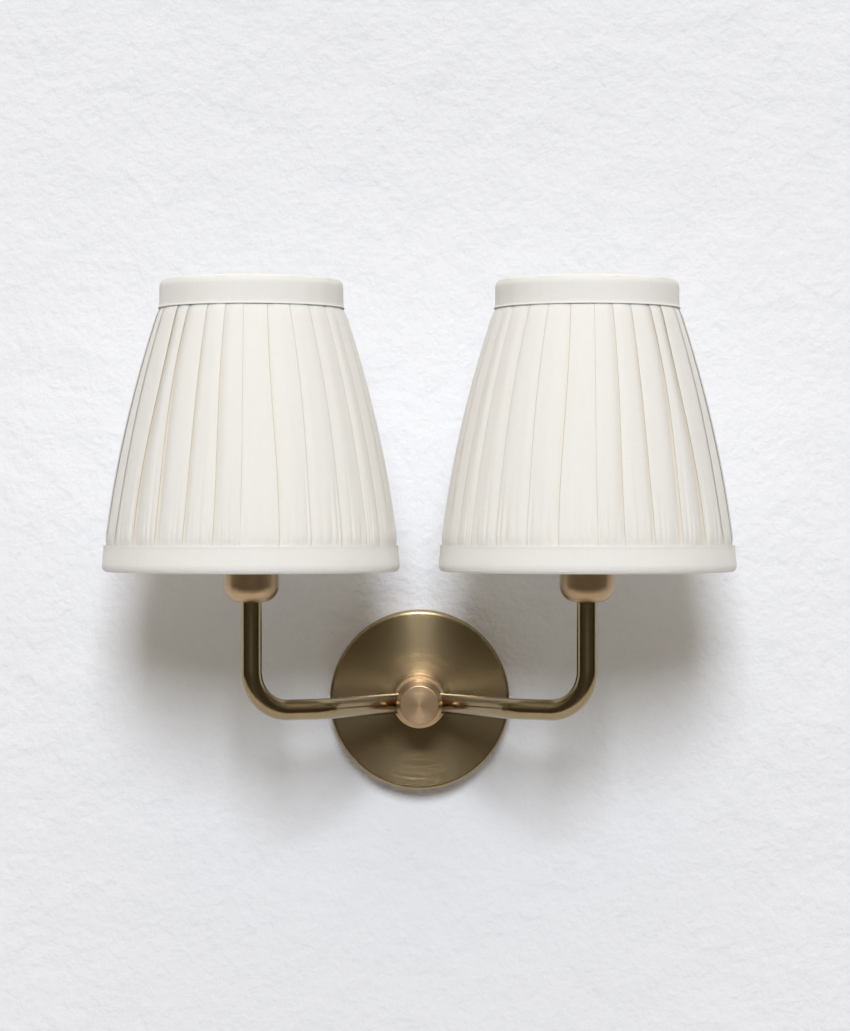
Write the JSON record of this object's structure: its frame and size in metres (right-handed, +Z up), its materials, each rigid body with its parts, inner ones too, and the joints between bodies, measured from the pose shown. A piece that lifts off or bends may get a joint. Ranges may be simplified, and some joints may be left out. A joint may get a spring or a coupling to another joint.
{
  "type": "double arm wall sconce",
  "caption": "Aged brass wall sconce with a round rose, bent arms that turn up from a turned hub, and pleated ivory cloth shades on candle lampholders.",
  "frame": {"origin": "on the wall, behind the middle of the round rose", "axes": "+Y into the wall, so the room is on the -Y side; +Z up; +X to the right as seen from the room"},
  "size_m": [0.332, 0.197, 0.276],
  "materials": {
    "aged_brass": "aged satin, turned and brushed",
    "plated_steel": "zinc plated",
    "bushing_plastic": "matte",
    "block_plastic": "matte",
    "flex_plastic": "smooth sheath",
    "porcelain": "glazed",
    "contact_brass": "bright",
    "cap_metal": "satin",
    "bulb_glass": "opal white",
    "pleated_cotton": "plain weave, knife pleated over a lining",
    "band_cotton": "plain weave, bound edge",
    "frame_wire": "powder coated"
  },
  "bodies": {
    "wall_frame": {"wall_rose": "aged_brass", "hub_collar": "aged_brass", "hub_body": "aged_brass", "arm_left": "aged_brass", "arm_right": "aged_brass", "cup_left": "aged_brass", "cup_right": "aged_brass", "holder_base_left": "aged_brass", "holder_base_right": "aged_brass", "holder_skirt_left": "aged_brass", "holder_skirt_right": "aged_brass", "wall_bracket": "plated_steel", "rose_screws": "plated_steel", "earth_screw": "plated_steel", "earth_washer": "plated_steel", "hub_nipple": "plated_steel", "nipple_nut": "plated_steel", "nipple_washer": "plated_steel", "terminal_fixing_screw": "plated_steel", "terminal_clamp_screws": "plated_steel", "cable_bushing": "bushing_plastic", "terminal_block": "block_plastic", "inner_flex_left": "flex_plastic", "inner_flex_right": "flex_plastic", "holder_insert_left": "porcelain", "holder_insert_right": "porcelain", "screw_shell_left": "contact_brass", "screw_shell_right": "contact_brass", "centre_contact_left": "contact_brass", "centre_contact_right": "contact_brass"},
    "shade_left": {"shade_skin_left": "pleated_cotton", "shade_top_band_left": "band_cotton", "shade_bottom_band_left": "band_cotton", "shade_top_ring_left": "frame_wire", "shade_bottom_ring_left": "frame_wire", "shade_ribs_left": "frame_wire", "shade_fitter_left": "frame_wire"},
    "ring_nut_left": {"shade_nut_left": "aged_brass"},
    "bulb_left": {"bulb_glass_left": "bulb_glass", "bulb_cap_left": "cap_metal", "bulb_contact_left": "contact_brass"},
    "shade_right": {"shade_skin_right": "pleated_cotton", "shade_top_band_right": "band_cotton", "shade_bottom_band_right": "band_cotton", "shade_top_ring_right": "frame_wire", "shade_bottom_ring_right": "frame_wire", "shade_ribs_right": "frame_wire", "shade_fitter_right": "frame_wire"},
    "ring_nut_right": {"shade_nut_right": "aged_brass"},
    "bulb_right": {"bulb_glass_right": "bulb_glass", "bulb_cap_right": "cap_metal", "bulb_contact_right": "contact_brass"}
  },
  "joints": [
    {"name": "shade_turn_left", "type": "hinge", "parent": "wall_frame", "child": "shade_left", "pos_m": [-0.088, -0.119, 0], "axis": [0, 0, 1], "continuous": true},
    {"name": "ring_nut_turn_left", "type": "hinge", "parent": "wall_frame", "child": "ring_nut_left", "pos_m": [-0.088, -0.119, 0], "axis": [0, 0, 1], "range_deg": [0, 1080]},
    {"name": "bulb_turn_left", "type": "hinge", "parent": "wall_frame", "child": "bulb_left", "pos_m": [-0.088, -0.119, 0], "axis": [0, 0, 1], "range_deg": [0, 1080]},
    {"name": "shade_turn_right", "type": "hinge", "parent": "wall_frame", "child": "shade_right", "pos_m": [0.088, -0.119, 0], "axis": [0, 0, 1], "continuous": true},
    {"name": "ring_nut_turn_right", "type": "hinge", "parent": "wall_frame", "child": "ring_nut_right", "pos_m": [0.088, -0.119, 0], "axis": [0, 0, 1], "range_deg": [0, 1080]},
    {"name": "bulb_turn_right", "type": "hinge", "parent": "wall_frame", "child": "bulb_right", "pos_m": [0.088, -0.119, 0], "axis": [0, 0, 1], "range_deg": [0, 1080]}
  ]
}
